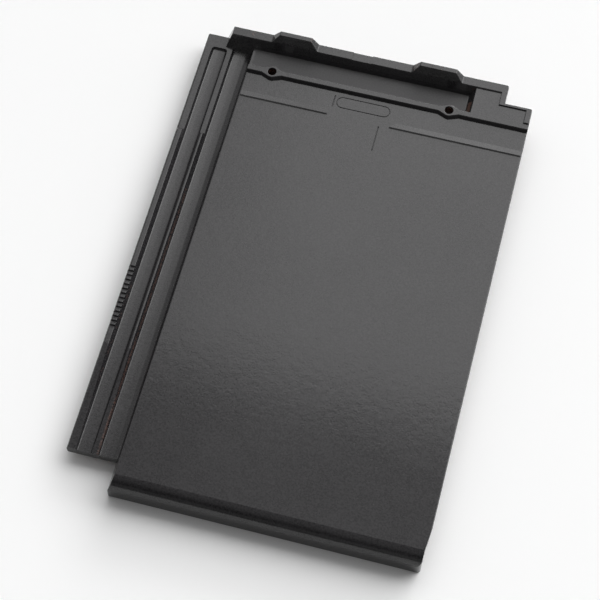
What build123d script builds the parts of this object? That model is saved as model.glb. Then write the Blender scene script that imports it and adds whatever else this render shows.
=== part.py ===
"""Flat interlocking clay roof tile with a double side lock on the left, millimetres, +Z up.

The tile lies face up. X runs across the width, with the side lock at -X, and Y runs up the slope, from the
nose at -Y to the head at +Y. The origin is on the floor under the middle of the outline.
"""

from build123d import *
import os
from math import radians, tan

# Overall sizes
overall_width = 306.0
overall_length = 455.0
lock_width = 47.5
side_gap = 1.5
head_lap = 68.5

# Levels, each measured down from the face of the panel
nose_drop = 26.0
panel_thickness = 15.0
rib_drop = 6.5
rib_height = 5.0
gutter_thickness = 5.8

# Side lock on the left: two ribs with a channel behind each
rib_lean = 2.0
outer_foot = 3.0
outer_crest = 4.65
outer_round = 2.2
inner_channel = 11.9
middle_crest = 1.5
rib_draft = 29.5
lock_draft = 25.5
edge_draft = 8.0
channel_fillet = 7.0
floor_round = 1.6
crest_round = 0.5
arris = 1.0
strip_setback = 26.4
strip_head_gap = 4.5
low_rib_step = 2.4
low_rib_length = 112.0
rib_fade_length = 98.0
rib_fade_depth = 3.8
strip_corner = 2.0
head_taper = 0.8
head_taper_length = 6.0
channel_border = 12.7
channel_corner = 1.8

# Gripping teeth on the outer rib
tooth_grooves = 14
tooth_pitch = 4.48
tooth_radius = 1.3
teeth_middle = 169.6

# Overlapping flange on the right, with two ribs below it
lock_clearance = 0.9
flange_rib_clearance = 1.6
flange_rib_width = 6.0
flange_lip_width = 7.5
flange_lip_stop = 43.9
lip_corner = 5.0

# Nose
nose_radius = 11.5
nose_lip = 9.0
nose_lip_draft = 15.0
nose_lip_round = 1.8
nose_corner = 3.5
nose_clearance = 2.0
nose_taper = 1.8
nose_taper_length = 31.0
nose_side_upper_draft = 17.0
nose_side_lower_draft = 4.5
nose_side_round = 1.6
nose_side_bend = 8.0

# Head: nail rib, drained pocket and rim
nail_rib_height = 3.4
nail_rib_setback = 40.9
nail_rib_width = 5.0
nail_rib_draft = 22.0
nail_rib_round = 0.7
pocket_depth = 5.0
pocket_right = 58.4
pocket_end_draft = 33.0
pocket_round = 3.0
rim_height = 4.8
rim_width = 8.6
rim_left = 25.0
rim_left_draft = 19.0
rim_right = 25.0
rim_arris = 0.7
rim_notch = 89.7
rim_notch_width = 18.0
rim_notch_depth = 1.3
lug_height = 8.0
lug_ramp = 6.6
lug_round = 1.5
left_lug = 36.1
left_lug_crest = 29.5
right_lug = 90.0
right_lug_crest = 33.4

# Stepped corner at the right of the head
shoulder_depth = 19.3
shoulder_round = 2.8
shoulder_hollow = 1.2
border_side = 5.4
border_back = 3.0
border_length = 35.5
border_draft = 20.0

# Nail holes, each in a boss
nail_hole_radius = 3.8
nail_hole_mouth = 0.5
left_nail_hole = 23.0
right_nail_hole = 72.1
nail_boss_radius = 5.9
nail_boss_reach = 13.0
nail_boss_tip = 1.0

# Low ridges that mark the longest gauge, and the bonding marks, set out from the middle of the panel
ridge_height = 1.5
ridge_front = 0.8
ridge_back = 6.6
ridge_point = 5.0
left_ridge_gap = 47.5
right_ridge_gap = 9.0
mark_width = 1.2
mark_depth = 0.7
bond_mark_length = 26.6
bond_mark_gap = 0.4
short_mark_length = 12.0
short_mark_offset = 45.0
cartouche_length = 49.6
cartouche_height = 11.8
cartouche_offset = 17.9
cartouche_setback = 52.6
cartouche_line = 0.9
cartouche_depth = 0.5

# Underside: stiffening ribs, batten nibs and the relief over the head of the tile below
stiffener_count = 3
stiffener_width = 7.0
stiffener_draft = 20.0
stiffener_front = 92.0
stiffener_back = 63.0
nib_width = 34.0
nib_thickness = 11.0
nib_draft = 12.0
nib_inset = 1.0
relief_front = 56.0
relief_width = 20.0
relief_depth = 4.5
relief_end = 20.0
underside_round = 2.0

# Places that follow from the sizes above
left = -overall_width / 2
right = overall_width / 2
nose = -overall_length / 2
head = overall_length / 2
face = nose_drop
rib_top = face - rib_drop
channel_floor = rib_top - rib_height
gutter_base = channel_floor - gutter_thickness
panel_base = face - panel_thickness
flange_base = rib_top + lock_clearance
flange_rib_base = channel_floor + flange_rib_clearance
panel_left = left + lock_width
panel_middle = (panel_left + right) / 2
cover_width = right - panel_left + side_gap
strip_front = nose + strip_setback
strip_back = head - strip_head_gap
low_rib_top = rib_top - low_rib_step
nail_rib_top = face + nail_rib_height
nail_rib_front = head - nail_rib_setback
pocket_front = nail_rib_front + nail_rib_width
pocket_floor = face - pocket_depth
rim_top = face + rim_height
lug_top = rim_top + lug_height
rim_front = head - rim_width
rim_end = right - rim_right
shoulder_back = head - shoulder_depth
ridge_line = head - head_lap
nail_hole_y = nail_rib_front + nail_rib_width / 2
nail_hole_places = (panel_left + left_nail_hole, right - right_nail_hole)
inner_rib_end = left + rib_lean + outer_crest


def run(rise, draft):
    """Horizontal run of a face that leans by draft degrees over a rise."""
    return rise * tan(radians(draft))


flank = run(rib_height, rib_draft)
middle_rib = inner_rib_end + 2 * flank + inner_channel
wall_foot = panel_left - run(face - channel_floor, edge_draft)

# The neighbour's channels repeat one cover width to the right, and the flange ribs hang in them
channel_middle = inner_rib_end + flank + inner_channel / 2 + cover_width
flange_rib_run = run(flange_base - flange_rib_base, rib_draft)
flange_rib_left = channel_middle - flange_rib_width / 2
flange_rib_right = channel_middle + flange_rib_width / 2
flange_lip_left = right - flange_lip_width
flange_root = left + cover_width - flange_rib_run
flange_wall_foot = flange_root - run(flange_base - panel_base, lock_draft)

section_corners = (
    (left, gutter_base, arris),
    (left, gutter_base + outer_foot, 0),
    (left + rib_lean, rib_top, 0),
    (inner_rib_end, rib_top, crest_round),
    (inner_rib_end + flank, channel_floor, floor_round),
    (middle_rib - flank, channel_floor, floor_round),
    (middle_rib, rib_top, crest_round),
    (middle_rib + middle_crest, rib_top, crest_round),
    (middle_rib + middle_crest + flank, channel_floor, floor_round),
    (wall_foot, channel_floor, channel_fillet),
    (panel_left, face, arris),
    (right, face, arris),
    (right, flange_rib_base, lip_corner),
    (flange_lip_left, flange_rib_base, arris),
    (flange_lip_left - flange_rib_run, flange_base, arris),
    (flange_rib_right + flange_rib_run, flange_base, arris),
    (flange_rib_right, flange_rib_base, arris),
    (flange_rib_left, flange_rib_base, arris),
    (flange_rib_left - flange_rib_run, flange_base, arris),
    (flange_root, flange_base, underside_round),
    (flange_wall_foot, panel_base, underside_round),
    (panel_left + run(panel_base - gutter_base, lock_draft), panel_base, underside_round),
    (panel_left, gutter_base, underside_round),
)

nose_upper_run = run(face - channel_floor, nose_side_upper_draft)
nose_side_run = nose_upper_run + run(channel_floor, nose_side_lower_draft)
rim_foot = left + rim_left - run(rim_top - gutter_base, rim_left_draft)
plan_corners = (
    (left, strip_front, strip_corner),
    (left, strip_back - head_taper_length, 0),
    (left + head_taper, strip_back, arris),
    (rim_foot, strip_back, 0),
    (rim_foot, head, 0),
    (rim_end, head, shoulder_round),
    (rim_end, shoulder_back, shoulder_hollow),
    (right, shoulder_back, shoulder_round),
    (right, nose + nose_taper_length, 0),
    (right - nose_taper, nose + nose_radius, 0),
    (right - nose_taper, nose, nose_corner),
    (panel_left - nose_side_run, nose, nose_side_round),
    (panel_left - nose_side_run, strip_front, 0),
)


def lug_corners(centre, crest):
    """Corners of one raised lug on the rim with their roundings, from left to right."""
    half = crest / 2
    return (
        (centre - half - lug_ramp, rim_top, lug_round),
        (centre - half, lug_top, lug_round),
        (centre + half, lug_top, lug_round),
        (centre + half + lug_ramp, rim_top, lug_round),
    )


lug_places = (panel_left + left_lug, right - right_lug)
rim_corners = (
    (rim_foot, gutter_base, 0),
    (left + rim_left, rim_top, 0),
    *lug_corners(lug_places[0], left_lug_crest),
    *lug_corners(lug_places[1], right_lug_crest),
    (rim_end, rim_top, 0),
    (rim_end, flange_base, 0),
    (flange_root, flange_base, 0),
    (flange_wall_foot, panel_base, 0),
    (panel_left, panel_base, 0),
    (panel_left, gutter_base, 0),
)

# Rim across the head: its elevation, cut to a sloping front wall, with a shallow notch in its top
with BuildPart() as head_rim:
    with BuildSketch(Plane.XZ.offset(-head)):
        with BuildLine():
            FilletPolyline(
                *[(x, z) for x, z, _ in rim_corners],
                radius=[r for _, _, r in rim_corners],
                close=True,
            )
        make_face()
    extrude(amount=rim_width + lug_top - gutter_base)
    with BuildSketch(Plane.YZ):
        with BuildLine():
            Polyline(
                (head, gutter_base),
                (head, lug_top),
                (rim_front + run(lug_height, lock_draft), lug_top),
                (rim_front - run(rim_top - gutter_base, lock_draft), gutter_base),
                close=True,
            )
        make_face()
    extrude(amount=overall_width, both=True, mode=Mode.INTERSECT)
    crest_faces = faces().filter_by(lambda f: f.normal_at().Z > 0.5 and f.center().Z > rim_top - rim_arris)
    crest_edges = crest_faces.edges().filter_by(lambda e: abs(e.tangent_at(0.5).Y) < 0.1)
    long_edges = crest_edges.filter_by(lambda e: abs(e.center().Y - (rim_front + head) / 2) > rim_width / 4)
    fillet(long_edges, rim_arris)
    with BuildSketch(Plane.XY.offset(rim_top)):
        with Locations((panel_left + rim_notch, head)):
            Rectangle(rim_notch_width, 2 * rim_width, align=(Align.MIN, Align.CENTER))
    extrude(amount=-rim_notch_depth, mode=Mode.SUBTRACT)

# Nose: its elevation with the leaning left side, cut to the rounded profile
with BuildPart() as nose_block:
    side_corners = (
        (panel_left, face, nose_side_round),
        (panel_left - nose_upper_run, channel_floor, nose_side_bend),
        (panel_left - nose_side_run, 0, 0),
        (right, 0, 0),
        (right, face, arris),
    )
    with BuildSketch(Plane.XZ.offset(-strip_front)):
        with BuildLine():
            FilletPolyline(
                *[(x, z) for x, z, _ in side_corners],
                radius=[r for _, _, r in side_corners],
                close=True,
            )
        make_face()
    extrude(amount=strip_setback)
    with BuildSketch(Plane.YZ):
        lip_back = nose + nose_lip
        lip_root = lip_back + run(panel_base, nose_lip_draft)
        nose_corners = (
            (strip_front, face, 0),
            (nose, face, nose_radius),
            (nose, 0, nose_lip_round),
            (lip_back, 0, nose_lip_round),
            (lip_root, panel_base, underside_round),
            (strip_front, panel_base, 0),
        )
        with BuildLine():
            FilletPolyline(
                *[(y, z) for y, z, _ in nose_corners],
                radius=[r for _, _, r in nose_corners],
                close=True,
            )
        make_face()
    extrude(amount=overall_width, both=True, mode=Mode.INTERSECT)

# Ridges that show how far the nose above may be drawn down
left_ridge_tip = panel_middle - left_ridge_gap
right_ridge_tip = panel_middle + right_ridge_gap
with BuildPart() as gauge_ridges:
    with BuildSketch(Plane.XY.offset(face)):
        for end, tip, point in (
            (panel_left + arris, left_ridge_tip, -ridge_point),
            (right - arris, right_ridge_tip, ridge_point),
        ):
            with BuildLine():
                Polyline(
                    (end, ridge_line),
                    (tip, ridge_line),
                    (tip + point, ridge_line + ridge_back),
                    (end, ridge_line + ridge_back),
                    close=True,
                )
            make_face()
    extrude(amount=ridge_height)
    with BuildSketch(Plane.YZ):
        with BuildLine():
            Polyline(
                (ridge_line, face),
                (ridge_line + ridge_front, face + ridge_height),
                (ridge_line + ridge_back, face),
                close=True,
            )
        make_face()
    extrude(amount=overall_width, both=True, mode=Mode.INTERSECT)

# Raised ground behind the nail rib: its elevation, cut to the rounded front of the rib
with BuildPart() as head_ground:
    with BuildSketch(Plane.XZ.offset(-strip_back)):
        with BuildLine():
            Polyline(
                (panel_left - run(arris, edge_draft), face - arris),
                (panel_left + run(nail_rib_height, edge_draft), nail_rib_top),
                (right, nail_rib_top),
                (right, face - arris),
                close=True,
            )
        make_face()
    extrude(amount=nail_rib_setback)
    ground_corners = (
        (nail_rib_front - run(nail_rib_top - panel_base, nail_rib_draft), panel_base, 0),
        (nail_rib_front, nail_rib_top, nail_rib_round),
        (strip_back, nail_rib_top, 0),
        (strip_back, panel_base, 0),
    )
    with BuildSketch(Plane.YZ.offset(left)):
        with BuildLine():
            FilletPolyline(
                *[(y, z) for y, z, _ in ground_corners],
                radius=[r for _, _, r in ground_corners],
                close=True,
            )
        make_face()
    extrude(amount=overall_width, mode=Mode.INTERSECT)

# Border that closes the outer channel at the head, with the channel's rounded end sunk into it
with BuildPart() as channel_end:
    end_foot = strip_back - channel_border - run(low_rib_top - channel_floor, lock_draft)
    with BuildSketch(Plane.XY.offset(gutter_base)):
        with Locations((left + rib_lean, strip_back)):
            Rectangle(
                middle_rib - left - rib_lean,
                strip_back - end_foot + 2 * channel_corner,
                align=(Align.MIN, Align.MAX),
            )
    extrude(amount=low_rib_top - gutter_base)
    with BuildSketch(Plane.XY.offset(channel_floor)):
        with Locations((inner_rib_end + flank + inner_channel / 2, end_foot)):
            RectangleRounded(inner_channel, channel_border, channel_corner, align=(Align.CENTER, Align.MAX))
    extrude(amount=low_rib_top - channel_floor, taper=-lock_draft, mode=Mode.SUBTRACT)

# Hollow of the pocket: its profile between the nail rib and the rim, cut to a sloping right end
with BuildPart() as pocket:
    pocket_corners = (
        (nail_hole_y, nail_rib_top, 0),
        (pocket_front, nail_rib_top, nail_rib_round),
        (pocket_front + run(nail_rib_top - pocket_floor, lock_draft), pocket_floor, pocket_round),
        (strip_back, pocket_floor, 0),
        (strip_back, lug_top, 0),
        (nail_hole_y, lug_top, 0),
    )
    with BuildSketch(Plane.YZ.offset(wall_foot)):
        with BuildLine():
            FilletPolyline(
                *[(y, z) for y, z, _ in pocket_corners],
                radius=[r for _, _, r in pocket_corners],
                close=True,
            )
        make_face()
    extrude(amount=right - wall_foot)
    with BuildSketch(Plane.XZ.offset(-head)):
        with BuildLine():
            Polyline(
                (wall_foot, pocket_floor),
                (right - pocket_right, pocket_floor),
                (right - pocket_right + run(lug_top - pocket_floor, pocket_end_draft), lug_top),
                (wall_foot, lug_top),
                close=True,
            )
        make_face()
    extrude(amount=overall_length, mode=Mode.INTERSECT)

# Boss that widens the nail rib round a nail hole, carried down to the floor of the pocket
with BuildPart() as nail_boss:
    boss_rise = nail_rib_top - pocket_floor
    boss_spread = run(boss_rise, nail_rib_draft)
    for level, spread in ((0, boss_spread), (boss_rise, 0)):
        with BuildSketch(Plane.XY.offset(level)):
            Circle(nail_boss_radius + spread)
            with Locations((-nail_boss_reach, 0), (nail_boss_reach, 0)):
                Circle(nail_boss_tip + spread)
            make_hull()
    loft(ruled=True)
    fillet(edges().group_by(Axis.Z)[-1], nail_rib_round)


with BuildPart() as roof_tile:
    # One section along the whole side lock and flange
    with BuildSketch(Plane.XZ.offset(-strip_front)):
        with BuildLine():
            FilletPolyline(
                *[(x, z) for x, z, _ in section_corners],
                radius=[r for _, _, r in section_corners],
                close=True,
            )
        make_face()
    extrude(amount=strip_front - strip_back)

    # The ribs stand lower towards the head, and fade out towards the nose
    with BuildSketch(Plane.YZ.offset(left)):
        step = head - low_rib_length
        with BuildLine():
            Polyline(
                (step, face),
                (step, rib_top),
                (step + low_rib_step, low_rib_top),
                (head, low_rib_top),
                (head, face),
                close=True,
            )
        make_face()
        with BuildLine():
            Polyline(
                (strip_front, face),
                (strip_front, rib_top - rib_fade_depth),
                (strip_front + rib_fade_length, rib_top),
                (strip_front + rib_fade_length, face),
                close=True,
            )
        make_face()
    extrude(amount=middle_rib + middle_crest + flank - left, mode=Mode.SUBTRACT)

    # The left edge of the outer rib is rounded along its whole length
    outer_edges = edges().filter_by(
        lambda e: e.center().Z > channel_floor and e.center().X < left + rib_lean + arris and e.length > arris
    )
    fillet(outer_edges, outer_round)

    # The end face of the side lock leans back
    with BuildSketch(Plane.YZ.offset(left)):
        with BuildLine():
            Polyline(
                (strip_front, gutter_base),
                (strip_front + run(face - gutter_base, edge_draft), face),
                (strip_front, face),
                close=True,
            )
        make_face()
    extrude(amount=wall_foot - left, mode=Mode.SUBTRACT)

    # Teeth
    with BuildSketch(Plane.YZ.offset(left)):
        with Locations((nose + teeth_middle, rib_top)):
            with GridLocations(tooth_pitch, tooth_pitch, tooth_grooves, 1):
                Circle(tooth_radius)
    extrude(amount=rib_lean + outer_crest + flank / 2, mode=Mode.SUBTRACT)

    add(channel_end.part)
    add(head_ground.part)
    add(pocket.part, mode=Mode.SUBTRACT)

    # Raised border round the stepped corner
    with BuildSketch(Plane.XY.offset(nail_rib_top)):
        with BuildLine():
            Polyline(
                (right, head - border_length),
                (right, shoulder_back),
                (rim_end, shoulder_back),
                (rim_end, rim_front + border_back),
                (rim_end - border_side, rim_front + border_back),
                (rim_end - border_side, shoulder_back - border_back),
                (right - border_side, shoulder_back - border_back),
                (right - border_side, head - border_length),
                close=True,
            )
        make_face()
    extrude(amount=rim_height - nail_rib_height, taper=border_draft)

    add(head_rim.part)
    add(nose_block.part)
    add(gauge_ridges.part)

    # The flange is open behind the nose, where the side lock beside it starts, and its ribs stop short of there
    with BuildSketch(Plane.XY):
        with Locations((flange_root, strip_front - nose_clearance)):
            Rectangle(
                2 * (right - flange_root),
                flange_lip_stop - strip_setback + nose_clearance,
                align=(Align.MIN, Align.MIN),
            )
    extrude(amount=flange_base, mode=Mode.SUBTRACT)

    # Bosses round the nail holes
    with Locations(*[(x, nail_hole_y, pocket_floor) for x in nail_hole_places]):
        add(nail_boss.part)

    # Stiffening ribs under the panel
    stiffener_length = overall_length - stiffener_front - stiffener_back
    stiffener_middle = nose + stiffener_front + stiffener_length / 2
    stiffener_spacing = (flange_root - panel_left) / (stiffener_count + 1)
    with BuildSketch(Plane.XY.offset(panel_base)):
        with Locations(((flange_root + panel_left) / 2, stiffener_middle)):
            with GridLocations(stiffener_spacing, stiffener_length, stiffener_count, 1):
                Rectangle(stiffener_width, stiffener_length)
    extrude(amount=gutter_base - panel_base, taper=stiffener_draft)

    # Nibs that hook over the batten, one under each lug
    nib_back = head - nib_inset
    with BuildSketch(Plane.XY.offset(panel_base)):
        with Locations(*[(x, nib_back) for x in lug_places]):
            Rectangle(nib_width, nib_thickness, align=(Align.CENTER, Align.MAX))
    extrude(amount=-panel_base, taper=nib_draft)

    # Relief that clears the rim and lugs of the tile below
    with BuildSketch(Plane.XY.offset(panel_base)):
        with Locations(((flange_root + panel_left) / 2, nose + relief_front + relief_width / 2)):
            Rectangle(flange_root - panel_left - 2 * relief_end, relief_width)
    extrude(amount=relief_depth, taper=lock_draft, mode=Mode.SUBTRACT)

    # Marks pressed into the face
    with BuildSketch(Plane.XY.offset(face)):
        with Locations((panel_middle, ridge_line - bond_mark_gap)):
            Rectangle(mark_width, bond_mark_length, align=(Align.CENTER, Align.MAX))
        with Locations((panel_middle - short_mark_offset, head - cartouche_setback)):
            Rectangle(mark_width, short_mark_length)
    extrude(amount=-mark_depth, mode=Mode.SUBTRACT)
    with BuildSketch(Plane.XY.offset(face)):
        with Locations((panel_middle - cartouche_offset, head - cartouche_setback)):
            SlotOverall(cartouche_length, cartouche_height)
            SlotOverall(
                cartouche_length - 2 * cartouche_line,
                cartouche_height - 2 * cartouche_line,
                mode=Mode.SUBTRACT,
            )
    extrude(amount=-cartouche_depth, mode=Mode.SUBTRACT)

    # Nail holes
    with BuildSketch(Plane.XY):
        with Locations(*[(x, nail_hole_y) for x in nail_hole_places]):
            Circle(nail_hole_radius)
    extrude(amount=rim_top, mode=Mode.SUBTRACT)
    mouth_edges = edges().filter_by(GeomType.CIRCLE).filter_by_position(Axis.Z, nail_rib_top - 0.01, nail_rib_top + 0.01)
    fillet(mouth_edges.filter_by(lambda e: abs(e.radius - nail_hole_radius) < nail_hole_mouth), nail_hole_mouth)

    # Outline in plan, with its rounded and stepped corners
    with BuildSketch(Plane.XY):
        with BuildLine():
            FilletPolyline(
                *[(x, y) for x, y, _ in plan_corners],
                radius=[r for _, _, r in plan_corners],
                close=True,
            )
        make_face()
    extrude(amount=lug_top, mode=Mode.INTERSECT)

roof_tile.part.label = "roof_tile"

os.makedirs("parts", exist_ok=True)
export_step(roof_tile.part, "parts/roof_tile.step")
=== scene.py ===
"""Studio scene for a flat interlocking clay roof tile, in metres, with +Z up.

The tile lies face up on a pale floor. X runs across its width, with the side lock at -X, and Y runs up the
slope from the rounded nose to the head.
"""

import logging
import math
from dataclasses import dataclass, field
from enum import Enum
from typing import Union

import bpy
from mathutils import Matrix, Vector

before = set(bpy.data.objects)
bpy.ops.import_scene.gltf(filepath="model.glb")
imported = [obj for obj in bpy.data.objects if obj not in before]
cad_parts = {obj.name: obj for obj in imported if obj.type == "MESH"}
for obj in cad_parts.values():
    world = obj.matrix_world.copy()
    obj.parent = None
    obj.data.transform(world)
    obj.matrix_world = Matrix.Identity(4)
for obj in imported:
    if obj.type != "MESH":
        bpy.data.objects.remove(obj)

log = logging.getLogger("roof_tile")

MM = 0.001
Pair = tuple[float, float]
Triple = tuple[float, float, float]
SocketSource = Union[bpy.types.NodeSocket, float, Triple]


class SocketKind(Enum):
    """Kinds of socket that a node group may have."""

    NUMBER = "NodeSocketFloat"
    PLACE = "NodeSocketVector"


class ShaderGraph:
    """Short ways to place nodes in one shader tree and join them."""

    # Places of the colour sockets on a Mix node.
    MIX_FIRST = 6
    MIX_SECOND = 7
    MIX_RESULT = 2

    def __init__(self, tree: bpy.types.NodeTree) -> None:
        """Keeps the tree and clears it.

        Args:
            tree: The material's, world's or group's own node tree.
        """
        self.tree = tree
        self.tree.nodes.clear()

    def add(self, kind: str, **settings: object) -> bpy.types.Node:
        """Places one node.

        Args:
            kind: The node type's own name.
            **settings: Properties of the node, by name.

        Returns:
            The new node.
        """
        node = self.tree.nodes.new(kind)
        for name, value in settings.items():
            setattr(node, name, value)
        return node

    def feed(self, socket: bpy.types.NodeSocket, source: SocketSource) -> None:
        """Links a socket to an output, or sets it to a plain value.

        Args:
            socket: The input to fill.
            source: An output socket, a number, a vector or a colour.
        """
        if isinstance(source, bpy.types.NodeSocket):
            self.tree.links.new(source, socket)
        elif isinstance(source, tuple) and socket.type == "RGBA":
            socket.default_value = (*source, 1.0)
        else:
            socket.default_value = source

    def math(self, operation: str, *sources: SocketSource) -> bpy.types.NodeSocket:
        """Places a Math node.

        Args:
            operation: The sum to do.
            *sources: Its inputs, in order.

        Returns:
            The result's socket.
        """
        node = self.add("ShaderNodeMath", operation=operation)
        for socket, source in zip(node.inputs, sources):
            self.feed(socket, source)
        return node.outputs[0]

    def vector(self, operation: str, *sources: SocketSource) -> bpy.types.NodeSocket:
        """Places a Vector Math node.

        Args:
            operation: The sum to do.
            *sources: Its inputs, in order.

        Returns:
            The resulting vector's socket.
        """
        node = self.add("ShaderNodeVectorMath", operation=operation)
        for socket, source in zip(node.inputs, sources):
            self.feed(socket, source)
        return node.outputs[0]

    def split(self, source: bpy.types.NodeSocket) -> bpy.types.NodeOutputs:
        """Places a node that splits a vector.

        Args:
            source: The vector.

        Returns:
            Its X, Y and Z sockets.
        """
        node = self.add("ShaderNodeSeparateXYZ")
        self.feed(node.inputs[0], source)
        return node.outputs

    def ramp(
        self,
        value: SocketSource,
        low: SocketSource,
        high: SocketSource,
        to_low: SocketSource = 0.0,
        to_high: SocketSource = 1.0,
    ) -> bpy.types.NodeSocket:
        """Maps a value smoothly from one range to another.

        Args:
            value: What is mapped.
            low: Where the range starts.
            high: Where it ends.
            to_low: The result at the start.
            to_high: The result at the end.

        Returns:
            The mapped value's socket.
        """
        node = self.add("ShaderNodeMapRange", interpolation_type="SMOOTHSTEP")
        names = ("Value", "From Min", "From Max", "To Min", "To Max")
        for name, source in zip(names, (value, low, high, to_low, to_high)):
            self.feed(node.inputs[name], source)
        return node.outputs["Result"]

    def noise(
        self,
        place: bpy.types.NodeSocket,
        scale: SocketSource,
        detail: float = 2.0,
        roughness: float = 0.5,
        distortion: float = 0.0,
    ) -> bpy.types.NodeSocket:
        """Places a noise texture.

        Args:
            place: Where the noise is read.
            scale: Its features for each metre.
            detail: How many finer layers it has.
            roughness: How strong the finer layers are.
            distortion: How much it is warped.

        Returns:
            The noise's value socket, about 0.5 on average.
        """
        node = self.add("ShaderNodeTexNoise")
        names = ("Vector", "Scale", "Detail", "Roughness", "Distortion")
        for name, source in zip(names, (place, scale, detail, roughness, distortion)):
            self.feed(node.inputs[name], source)
        return node.outputs["Fac"]

    def mix(self, factor: SocketSource, first: SocketSource, second: SocketSource) -> bpy.types.NodeSocket:
        """Mixes two colours.

        Args:
            factor: How much of the second colour shows.
            first: The colour at 0.
            second: The colour at 1.

        Returns:
            The mixed colour's socket.
        """
        node = self.add("ShaderNodeMix", data_type="RGBA")
        self.feed(node.inputs["Factor"], factor)
        self.feed(node.inputs[self.MIX_FIRST], first)
        self.feed(node.inputs[self.MIX_SECOND], second)
        return node.outputs[self.MIX_RESULT]


class EffectGroup:
    """A shader node group with named inputs and outputs, built once and placed in any number of materials."""

    title = "effect"
    takes: tuple[tuple[str, SocketKind, SocketSource], ...] = ()
    gives: tuple[tuple[str, SocketKind], ...] = ()

    def __init__(self) -> None:
        """Makes the group's sockets and fills it."""
        self.tree = bpy.data.node_groups.new(self.title, "ShaderNodeTree")
        for name, kind, start in self.takes:
            socket = self.tree.interface.new_socket(name, in_out="INPUT", socket_type=kind.value)
            socket.default_value = start
        for name, kind in self.gives:
            self.tree.interface.new_socket(name, in_out="OUTPUT", socket_type=kind.value)
        graph = ShaderGraph(self.tree)
        entry = graph.add("NodeGroupInput").outputs
        leave = graph.add("NodeGroupOutput").inputs
        self.fill(graph, entry, leave)

    def fill(self, graph: ShaderGraph, entry: bpy.types.NodeOutputs, leave: bpy.types.NodeInputs) -> None:
        """Builds what the group does; each effect has its own.

        Args:
            graph: The group's graph.
            entry: The group's inputs, as outputs of its first node.
            leave: The group's outputs, as inputs of its last node.
        """
        raise NotImplementedError

    def place(self, graph: ShaderGraph, label: str, **sources: SocketSource) -> bpy.types.NodeOutputs:
        """Places the group in a material.

        Args:
            graph: The material's graph.
            label: The title that its node shows.
            **sources: What feeds each input, by its name with underscores for spaces.

        Returns:
            The group's outputs.
        """
        node = graph.add("ShaderNodeGroup", node_tree=self.tree, label=label)
        for name, source in sources.items():
            graph.feed(node.inputs[name.replace("_", " ").capitalize()], source)
        return node.outputs


class SurfaceGrain(EffectGroup):
    """Fine unevenness of a pressed and fired surface, in height and in tone."""

    title = "surface_grain"
    takes = (
        ("Place", SocketKind.PLACE, (0.0, 0.0, 0.0)),
        ("Grain size", SocketKind.NUMBER, 0.0015),
        ("Ripple size", SocketKind.NUMBER, 0.006),
        ("Ripple share", SocketKind.NUMBER, 1.2),
    )
    gives = (("Height", SocketKind.NUMBER), ("Mottle", SocketKind.NUMBER), ("Cloud", SocketKind.NUMBER))

    grain_detail = 2.0
    grain_roughness = 0.6
    ripple_detail = 1.0
    mottle_limits: Pair = (0.32, 0.68)
    clouds_per_metre = 24.0
    cloud_detail = 4.0
    cloud_roughness = 0.6
    cloud_warp = 0.4
    cloud_limits: Pair = (0.3, 0.7)

    def fill(self, graph: ShaderGraph, entry: bpy.types.NodeOutputs, leave: bpy.types.NodeInputs) -> None:
        """Adds a fine grain to slow ripples, and gives speckles and clouds for the colour.

        Args:
            graph: The group's graph.
            entry: The group's inputs.
            leave: The group's outputs.
        """
        place = entry["Place"]
        grains_per_metre = graph.math("DIVIDE", 1.0, entry["Grain size"])
        ripples_per_metre = graph.math("DIVIDE", 1.0, entry["Ripple size"])
        grain = graph.noise(place, grains_per_metre, self.grain_detail, self.grain_roughness)
        ripple = graph.noise(place, ripples_per_metre, self.ripple_detail)
        cloud = graph.noise(
            place, self.clouds_per_metre, self.cloud_detail, self.cloud_roughness, self.cloud_warp
        )
        graph.feed(leave["Height"], graph.math("MULTIPLY_ADD", ripple, entry["Ripple share"], grain))
        graph.feed(leave["Mottle"], graph.ramp(grain, *self.mottle_limits))
        graph.feed(leave["Cloud"], graph.ramp(cloud, *self.cloud_limits))


class CoatBox(EffectGroup):
    """Soft-sided box, plain or filled with specks, in which the coat differs."""

    title = "coat_box"
    takes = (
        ("Place", SocketKind.PLACE, (0.0, 0.0, 0.0)),
        ("Middle", SocketKind.PLACE, (0.0, 0.0, 0.0)),
        ("Half size", SocketKind.PLACE, (0.01, 0.01, 0.01)),
        ("Fade", SocketKind.NUMBER, 0.001),
        ("Speck size", SocketKind.NUMBER, 0.003),
        ("Strength", SocketKind.NUMBER, 1.0),
    )
    gives = (("Mask", SocketKind.NUMBER), ("Inside", SocketKind.NUMBER))

    speck_detail = 4.0
    speck_roughness = 0.65
    speck_level = 0.78
    level_drop = -0.6
    speck_edge: Pair = (-0.05, 0.09)

    def fill(self, graph: ShaderGraph, entry: bpy.types.NodeOutputs, leave: bpy.types.NodeInputs) -> None:
        """Measures how far inside the box a point lies, along the axis that is nearest to a side.

        A speck shows where the noise is over a level, and the level drops from the sides inwards.

        Args:
            graph: The group's graph.
            entry: The group's inputs.
            leave: The group's outputs.
        """
        offset = graph.vector("ABSOLUTE", graph.vector("SUBTRACT", entry["Place"], entry["Middle"]))
        sides = graph.split(graph.vector("SUBTRACT", entry["Half size"], offset))
        least = graph.math("MINIMUM", sides[0], graph.math("MINIMUM", sides[1], sides[2]))
        inside = graph.ramp(graph.math("DIVIDE", least, entry["Fade"]), 0.0, 1.0)
        specks_per_metre = graph.math("DIVIDE", 1.0, entry["Speck size"])
        specks = graph.noise(entry["Place"], specks_per_metre, self.speck_detail, self.speck_roughness)
        reach = graph.math("MULTIPLY", inside, entry["Strength"])
        level = graph.math("MULTIPLY_ADD", reach, self.level_drop, self.speck_level)
        graph.feed(leave["Mask"], graph.ramp(graph.math("SUBTRACT", specks, level), *self.speck_edge))
        graph.feed(leave["Inside"], inside)


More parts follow.
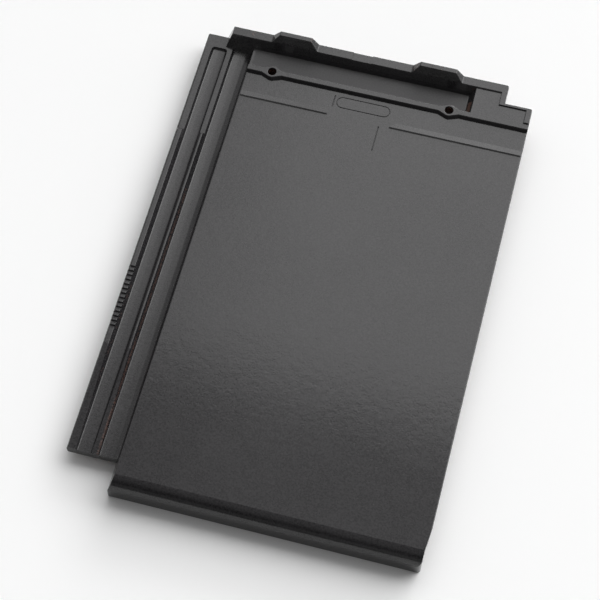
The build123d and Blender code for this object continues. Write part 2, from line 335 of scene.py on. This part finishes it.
@dataclass(frozen=True)
class CoatPlace:
    """One place on the tile where the coat differs, as a box in millimetres with soft sides."""

    name: str
    low: Triple
    high: Triple
    fade: float = 1.0

    @property
    def middle(self) -> Triple:
        """Middle of the box, in metres."""
        return tuple((a + b) / 2 * MM for a, b in zip(self.low, self.high))

    @property
    def half(self) -> Triple:
        """Half of the box's size, in metres."""
        return tuple((b - a) / 2 * MM for a, b in zip(self.low, self.high))

    def enclose(
        self, graph: ShaderGraph, place: bpy.types.NodeSocket, box: CoatBox, **specks: float
    ) -> bpy.types.NodeOutputs:
        """Places the box in a material.

        Args:
            graph: The material's graph.
            place: The point on the tile.
            box: The group for a place where the coat differs.
            **specks: The group's inputs for its specks.

        Returns:
            The group's outputs.
        """
        return box.place(
            graph,
            self.name,
            place=place,
            middle=self.middle,
            half_size=self.half,
            fade=self.fade * MM,
            **specks,
        )


@dataclass(frozen=True)
class ThinCoat(CoatPlace):
    """Place where the clay shows through the coat in specks.

    Speck is a speck's size in millimetres, filled is how much of the box the specks fill, and clay is how
    much of the clay's colour a speck has.
    """

    speck: float = 3.0
    filled: float = 1.0
    clay: float = 0.42

    def mask(self, graph: ShaderGraph, place: bpy.types.NodeSocket, box: CoatBox) -> bpy.types.NodeSocket:
        """Finds how bare the clay is.

        Args:
            graph: The material's graph.
            place: The point on the tile.
            box: The group for a place where the coat differs.

        Returns:
            A mask, 1 where the clay is bare.
        """
        outputs = self.enclose(graph, place, box, speck_size=self.speck * MM, strength=self.filled)
        return graph.math("MULTIPLY", outputs["Mask"], self.clay)


@dataclass(frozen=True)
class PooledCoat(CoatPlace):
    """Place where the coat has pooled and dried matt, by the share of the most that it does so."""

    matt: float = 1.0

    def roughness(
        self, graph: ShaderGraph, place: bpy.types.NodeSocket, box: CoatBox, most: float
    ) -> bpy.types.NodeSocket:
        """Finds how much rougher the coat is.

        Args:
            graph: The material's graph.
            place: The point on the tile.
            box: The group for a place where the coat differs.
            most: The roughness that a wholly matt pool adds.

        Returns:
            The added roughness.
        """
        outputs = self.enclose(graph, place, box)
        return graph.math("MULTIPLY", outputs["Inside"], self.matt * most)


@dataclass(frozen=True)
class Hollow:
    """Slight dish across the floor of a channel, in millimetres, on what lies below its top."""

    middle: float
    half: float
    depth: float
    top: float = 15.3

    def height(self, graph: ShaderGraph, place: bpy.types.NodeSocket, relief: float) -> bpy.types.NodeSocket:
        """Gives the dish's height, 0 along its middle.

        Args:
            graph: The material's graph.
            place: The point on the tile.
            relief: The bump's distance, in metres.

        Returns:
            The height, in bump distances.
        """
        across, _, up = graph.split(place)
        away = graph.math("DIVIDE", graph.math("SUBTRACT", across, self.middle * MM), self.half * MM)
        bowl = graph.math("MINIMUM", graph.math("MULTIPLY", away, away), 1.0)
        floor = graph.math("LESS_THAN", up, self.top * MM)
        return graph.math("MULTIPLY", graph.math("MULTIPLY", bowl, floor), self.depth * MM / relief)


@dataclass(frozen=True)
class EngobeFinish:
    """Near-black satin coat over red-brown fired clay, thin in a few places and left off the underside."""

    coat: Triple = (0.0100, 0.0094, 0.0104)
    coat_pale: Triple = (0.0290, 0.0275, 0.0293)
    clay: Triple = (0.130, 0.056, 0.036)
    clay_pale: Triple = (0.215, 0.102, 0.066)
    speckle_share: float = 0.75
    cloud_share: float = 0.25
    gloss_roughness: float = 0.075
    gloss_spread: float = 0.03
    pooled_roughness: float = 0.40
    clay_roughness: float = 0.8
    relief: float = 0.000028
    clay_coarseness: float = 6.0
    rim_middle: Triple = (0.0, 0.0, 0.0)
    rim_half: Triple = (0.153, 0.2275, 0.2)
    drift_width: float = 0.035
    drifts_per_metre: float = 18.0
    drift_detail: float = 5.0
    drift_roughness: float = 0.7
    drift_share: float = 0.9
    below_limits: Pair = (-0.75, -1.15)
    reach_limits: Pair = (0.35, 0.85)
    thin: tuple[ThinCoat, ...] = ()
    pools: tuple[PooledCoat, ...] = ()
    hollows: tuple[Hollow, ...] = ()

    def cover(self, graph: ShaderGraph, place: bpy.types.NodeSocket, box: CoatBox) -> bpy.types.NodeSocket:
        """Finds where the clay shows: where the coat is thin, and on faces that look down, inside their rim.

        Args:
            graph: The material's graph.
            place: The point on the tile.
            box: The group for a place where the coat differs.

        Returns:
            A mask, 1 where the clay is bare.
        """
        down = graph.split(graph.add("ShaderNodeTexCoord").outputs["Normal"])[2]
        drift = graph.noise(place, self.drifts_per_metre, self.drift_detail, self.drift_roughness)
        below = graph.ramp(graph.math("MULTIPLY_ADD", drift, -self.drift_share, down), *self.below_limits)
        rim = box.place(
            graph, "rim", place=place, middle=self.rim_middle, half_size=self.rim_half, fade=self.drift_width
        )["Inside"]
        reach = graph.ramp(graph.math("MULTIPLY_ADD", drift, self.drift_share, rim), *self.reach_limits)
        worn = graph.math("MULTIPLY", below, reach)
        for spot in self.thin:
            worn = graph.math("MAXIMUM", worn, spot.mask(graph, place, box))
        return worn

    def gloss(
        self,
        graph: ShaderGraph,
        place: bpy.types.NodeSocket,
        box: CoatBox,
        tone: bpy.types.NodeSocket,
        worn: bpy.types.NodeSocket,
    ) -> bpy.types.NodeSocket:
        """Finds the roughness: satin coat, matt where it has pooled, and rough bare clay.

        Args:
            graph: The material's graph.
            place: The point on the tile.
            box: The group for a place where the coat differs.
            tone: How pale the surface is.
            worn: Where the clay is bare.

        Returns:
            The roughness.
        """
        least = self.gloss_roughness - self.gloss_spread / 2
        coat = graph.ramp(tone, 0.0, 1.0, least, least + self.gloss_spread)
        for pool in self.pools:
            coat = graph.math("ADD", coat, pool.roughness(graph, place, box, self.pooled_roughness))
        return graph.math("MAXIMUM", coat, graph.math("MULTIPLY", worn, self.clay_roughness))

    def height(
        self,
        graph: ShaderGraph,
        place: bpy.types.NodeSocket,
        grain: bpy.types.NodeSocket,
        worn: bpy.types.NodeSocket,
    ) -> bpy.types.NodeSocket:
        """Finds the bump's height: the grain, coarser on bare clay, and the channels' hollows.

        Args:
            graph: The material's graph.
            place: The point on the tile.
            grain: The grain's height.
            worn: Where the clay is bare.

        Returns:
            The height, in bump distances.
        """
        coarse = graph.math("MULTIPLY_ADD", worn, self.clay_coarseness, 1.0)
        height = graph.math("MULTIPLY", grain, coarse)
        for hollow in self.hollows:
            height = graph.math("ADD", height, hollow.height(graph, place, self.relief))
        return height

    def build(self, grain: SurfaceGrain, box: CoatBox) -> bpy.types.Material:
        """Makes the material.

        Args:
            grain: The group for the fired surface's grain.
            box: The group for a place where the coat differs.

        Returns:
            The new material.
        """
        material = bpy.data.materials.new("engobe_over_clay")
        material.use_nodes = True
        graph = ShaderGraph(material.node_tree)
        place = graph.add("ShaderNodeTexCoord").outputs["Object"]
        surface = grain.place(graph, "grain", place=place)
        worn = self.cover(graph, place, box)
        clouds = graph.math("MULTIPLY", surface["Cloud"], self.cloud_share)
        tone = graph.math("MULTIPLY_ADD", surface["Mottle"], self.speckle_share, clouds)
        coat = graph.mix(tone, self.coat, self.coat_pale)
        clay = graph.mix(tone, self.clay, self.clay_pale)
        bump = graph.add("ShaderNodeBump")
        graph.feed(bump.inputs["Distance"], self.relief)
        graph.feed(bump.inputs["Height"], self.height(graph, place, surface["Height"], worn))
        shader = graph.add("ShaderNodeBsdfPrincipled")
        graph.feed(shader.inputs["Base Color"], graph.mix(worn, coat, clay))
        graph.feed(shader.inputs["Roughness"], self.gloss(graph, place, box, tone, worn))
        graph.feed(shader.inputs["Normal"], bump.outputs[0])
        leave = graph.add("ShaderNodeOutputMaterial")
        graph.feed(leave.inputs["Surface"], shader.outputs[0])
        return material


@dataclass(frozen=True)
class FloorFinish:
    """Matt white studio floor that sends little light back under the tile."""

    seen: Triple = (0.98, 0.98, 0.98)
    bounced: Triple = (0.2, 0.2, 0.2)

    def build(self) -> bpy.types.Material:
        """Makes the material.

        Returns:
            The new material.
        """
        material = bpy.data.materials.new("studio_floor")
        material.use_nodes = True
        graph = ShaderGraph(material.node_tree)
        path = graph.add("ShaderNodeLightPath").outputs
        mirrored = graph.math("MAXIMUM", path["Is Glossy Ray"], path["Is Transmission Ray"])
        direct = graph.math("MAXIMUM", path["Is Camera Ray"], mirrored)
        shader = graph.add("ShaderNodeBsdfDiffuse")
        graph.feed(shader.inputs["Color"], graph.mix(direct, self.bounced, self.seen))
        leave = graph.add("ShaderNodeOutputMaterial")
        graph.feed(leave.inputs["Surface"], shader.outputs[0])
        return material


@dataclass
class RoofTile:
    """The whole tile, which is one pressed and fired piece."""

    node: str = "roof_tile"
    finish: EngobeFinish = field(default_factory=EngobeFinish)

    def dress(self) -> bpy.types.Object:
        """Gives the tile its coat.

        Returns:
            The tile's object.
        """
        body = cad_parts[self.node]
        material = self.finish.build(SurfaceGrain(), CoatBox())
        for slot in body.material_slots:
            slot.material = material
        return body


@dataclass(frozen=True)
class Softbox:
    """A large soft lamp that looks at the tile."""

    name: str
    middle: Triple
    width: float
    depth: float
    radiance: float
    target: Triple = (0.0, 0.0, 0.0)

    def hang(self) -> None:
        """Makes the lamp and hangs it in the scene."""
        lamp = bpy.data.lights.new(self.name, "AREA")
        lamp.shape = "RECTANGLE"
        lamp.size = self.width
        lamp.size_y = self.depth
        lamp.energy = self.radiance * self.width * self.depth * math.pi
        holder = bpy.data.objects.new(self.name, lamp)
        holder.location = self.middle
        aim = Vector(self.target) - Vector(self.middle)
        holder.rotation_euler = aim.to_track_quat("-Z", "Y").to_euler()
        bpy.context.scene.collection.objects.link(holder)


@dataclass(frozen=True)
class RoomLight:
    """Light from all round: dim in front, a broad bright ceiling panel behind the head, pale at the horizon.

    Low in front it is a little paler again. Slopes are run over height, so a slope of 1 lies 45 degrees from
    straight up. A pair of slopes or heights is where a change starts and where it ends.
    """

    low_front: float = 0.30
    low_slopes: Pair = (-2.2, -1.2)
    front: float = 0.12
    overhead: float = 0.38
    overhead_slopes: Pair = (-1.0, -0.25)
    glow: float = 0.76
    glow_from: float = 0.20
    glow_gap: float = 0.04
    panel_edge: float = 2.85
    panel_deep: float = 3.22
    panel_from: float = 0.425
    panel_full: float = 0.68
    panel_to: float = 4.5
    near_fade: float = 0.012
    far_fade: float = 1.0
    left_slopes: Pair = (-1.0, -0.3)
    right_slopes: Pair = (1.2, 2.4)
    far_gain: float = 6.0
    far_slopes: Pair = (1.9, 2.6)
    right_gain: float = 1.6
    gain_slopes: Pair = (0.05, 0.5)
    left_shade: float = 0.72
    shade_slopes: Pair = (-0.23, -0.12)
    horizon: float = 0.9
    horizon_heights: Pair = (0.03, 0.10)
    least_height: float = 0.02

    def ceiling(self, graph: ShaderGraph, run: bpy.types.NodeSocket) -> bpy.types.NodeSocket:
        """Gives the plain ceiling's light, with a glow before the panel and a paler part low in front.

        Args:
            graph: The world's graph.
            run: The slope from the front to the back.

        Returns:
            The light.
        """
        plain = graph.ramp(run, *self.overhead_slopes, self.front, self.overhead)
        glow = graph.ramp(run, self.glow_from, self.panel_from - self.glow_gap, 0.0, self.glow)
        low = graph.ramp(run, *self.low_slopes, self.low_front, 0.0)
        return graph.math("ADD", graph.math("ADD", plain, glow), low)

    def panel(
        self, graph: ShaderGraph, run: bpy.types.NodeSocket, lean: bpy.types.NodeSocket
    ) -> bpy.types.NodeSocket:
        """Gives the panel's light, which is brighter far back and on the right.

        Args:
            graph: The world's graph.
            run: The slope from the front to the back.
            lean: The slope from the left to the right.

        Returns:
            The light.
        """
        near = graph.ramp(run, self.panel_from, self.panel_full, self.panel_edge, self.panel_deep)
        light = graph.math("ADD", near, graph.ramp(run, *self.far_slopes, 0.0, self.far_gain))
        return graph.math("MULTIPLY", light, graph.ramp(lean, *self.gain_slopes, 1.0, self.right_gain))

    def outline(
        self, graph: ShaderGraph, run: bpy.types.NodeSocket, lean: bpy.types.NodeSocket
    ) -> bpy.types.NodeSocket:
        """Gives the panel's outline, sharp along its near edge and soft along the others.

        Args:
            graph: The world's graph.
            run: The slope from the front to the back.
            lean: The slope from the left to the right.

        Returns:
            A mask, 1 inside the panel.
        """
        near = graph.ramp(run, self.panel_from, self.panel_from + self.near_fade)
        far = graph.ramp(run, self.panel_to, self.panel_to + self.far_fade, 1.0, 0.0)
        left = graph.ramp(lean, *self.left_slopes)
        right = graph.ramp(lean, *self.right_slopes, 1.0, 0.0)
        in_length = graph.math("MULTIPLY", near, far)
        in_width = graph.math("MULTIPLY", left, right)
        return graph.math("MULTIPLY", in_length, in_width)

    def build(self) -> None:
        """Makes the world and gives it to the scene."""
        world = bpy.data.worlds.new("studio_room")
        world.use_nodes = True
        bpy.context.scene.world = world
        graph = ShaderGraph(world.node_tree)
        side, back, up = graph.split(graph.add("ShaderNodeTexCoord").outputs["Generated"])
        height = graph.math("MAXIMUM", up, self.least_height)
        run = graph.math("DIVIDE", back, height)
        lean = graph.math("DIVIDE", side, height)
        room = self.ceiling(graph, run)
        more = graph.math("SUBTRACT", self.panel(graph, run, lean), room)
        lit = graph.math("MULTIPLY_ADD", more, self.outline(graph, run, lean), room)
        lit = graph.math("MULTIPLY", lit, graph.ramp(lean, *self.shade_slopes, self.left_shade, 1.0))
        above = graph.ramp(up, *self.horizon_heights)
        light = graph.math("MULTIPLY_ADD", graph.math("SUBTRACT", lit, self.horizon), above, self.horizon)
        background = graph.add("ShaderNodeBackground")
        graph.feed(background.inputs["Strength"], light)
        leave = graph.add("ShaderNodeOutputWorld")
        graph.feed(leave.inputs["Surface"], background.outputs[0])


@dataclass
class Studio:
    """Floor, lamps and surroundings."""

    floor_side: float = 12.0
    floor_finish: FloorFinish = field(default_factory=FloorFinish)
    room: RoomLight = field(default_factory=RoomLight)
    softboxes: tuple[Softbox, ...] = (
        Softbox("right_softbox", middle=(1.9, 1.1, 0.75), width=1.6, depth=1.4, radiance=1.0),
    )

    def lay_floor(self) -> None:
        """Lays the floor, which isn't part of the tile."""
        half = self.floor_side / 2
        mesh = bpy.data.meshes.new("studio_floor")
        corners = [(-half, -half, 0), (half, -half, 0), (half, half, 0), (-half, half, 0)]
        mesh.from_pydata(corners, [], [(0, 1, 2, 3)])
        mesh.materials.append(self.floor_finish.build())
        floor = bpy.data.objects.new("studio_floor", mesh)
        bpy.context.scene.collection.objects.link(floor)

    def build(self) -> None:
        """Makes the whole studio."""
        self.lay_floor()
        self.room.build()
        for softbox in self.softboxes:
            softbox.hang()


@dataclass(frozen=True)
class StudioCamera:
    """Camera high over the nose, a little to the right."""

    location: Triple = (0.16940, -0.68696, 1.37191)
    across: Triple = (0.9677, 0.2522, 0.0018)
    up: Triple = (-0.2258, 0.8630, 0.4519)
    back: Triple = (0.1124, -0.4377, 0.8921)
    lens: float = 107.0
    sensor: float = 36.0

    def build(self) -> bpy.types.Object:
        """Makes the camera and gives it to the scene.

        Returns:
            The camera's object.
        """
        data = bpy.data.cameras.new("studio_camera")
        data.lens = self.lens
        data.sensor_width = self.sensor
        camera = bpy.data.objects.new("studio_camera", data)
        turn = Matrix((self.across, self.up, self.back)).transposed()
        camera.matrix_world = Matrix.Translation(self.location) @ turn.to_quaternion().to_matrix().to_4x4()
        bpy.context.scene.collection.objects.link(camera)
        bpy.context.scene.camera = camera
        return camera


def tile_finish() -> EngobeFinish:
    """Says where on the tile the coat is thin, where it has pooled and which floors are hollow.

    Returns:
        The tile's finish.
    """
    return EngobeFinish(
        thin=(
            ThinCoat(
                "middle_rib_right_flank",
                (-127.6, -205.0, 13.0), (-124.2, 60.0, 18.4), fade=1.2, speck=3.0, filled=0.6, clay=0.15,
            ),
            ThinCoat(
                "outer_rib_right_flank",
                (-146.8, -140.0, 13.0), (-143.2, -40.0, 18.4), fade=1.2, speck=3.0, filled=0.42, clay=0.12,
            ),
            ThinCoat(
                "middle_rib_right_flank_near_nose",
                (-127.6, -205.0, 13.0), (-124.2, -95.0, 18.4), fade=1.2, speck=2.0, filled=0.45, clay=0.3,
            ),
            ThinCoat(
                "pocket_right_end_wall",
                (94.0, 190.0, 19.0), (101.0, 206.0, 28.5), fade=2.5, speck=4.0, filled=0.8,
            ),
            ThinCoat("left_nail_hole", (-87.0, 184.6, 9.0), (-78.0, 193.6, 28.0), speck=2.0, filled=0.9),
            ThinCoat("right_nail_hole", (76.4, 184.6, 9.0), (85.4, 193.6, 28.0), speck=2.0, filled=0.9),
            ThinCoat(
                "left_lug_right_corner",
                (-57.0, 217.5, 36.6), (-52.0, 229.0, 40.0), fade=1.5, speck=1.5, filled=0.45,
            ),
            ThinCoat(
                "right_lug_top",
                (55.0, 219.0, 38.0), (68.0, 229.0, 40.0), fade=1.5, speck=2.0, filled=0.6,
            ),
            ThinCoat(
                "right_lug_left_ramp",
                (39.0, 218.5, 30.0), (47.0, 229.0, 39.0), fade=2.0, speck=1.2, filled=0.42,
            ),
            ThinCoat(
                "rim_left_corner",
                (-112.0, 221.0, 29.5), (-105.0, 229.0, 32.0), fade=2.0, speck=1.5, filled=0.55,
            ),
        ),
        pools=(
            PooledCoat("side_lock_channels", (-160.0, -240.0, 10.0), (-106.0, 212.0, 17.5), matt=0.3),
            PooledCoat("pocket", (-106.0, 194.0, 10.0), (96.0, 221.0, 26.0), fade=3.0, matt=0.8),
            PooledCoat("bonding_mark", (22.8, 131.5, 24.0), (24.7, 159.0, 25.85), fade=0.2),
            PooledCoat("short_mark", (-22.2, 168.5, 24.0), (-20.3, 181.3, 25.85), fade=0.2),
            PooledCoat("cartouche_line", (-19.5, 168.5, 24.0), (31.2, 181.3, 25.85), fade=0.2),
        ),
        hollows=(
            Hollow(middle=-137.5, half=6.5, depth=0.7),
            Hollow(middle=-117.6, half=7.0, depth=0.7),
        ),
    )


def main() -> None:
    """Builds the scene piece by piece."""
    logging.basicConfig(level=logging.INFO, format="%(name)s: %(message)s")
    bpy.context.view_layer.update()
    camera = StudioCamera().build()
    log.info("camera at %s", tuple(round(x, 3) for x in camera.location))
    tile = RoofTile(finish=tile_finish()).dress()
    log.info("%s has %d faces", tile.name, len(tile.data.polygons))
    Studio().build()
    log.info("studio built")
    bpy.context.scene.view_settings.view_transform = "Standard"


if __name__ == "__main__":
    main()
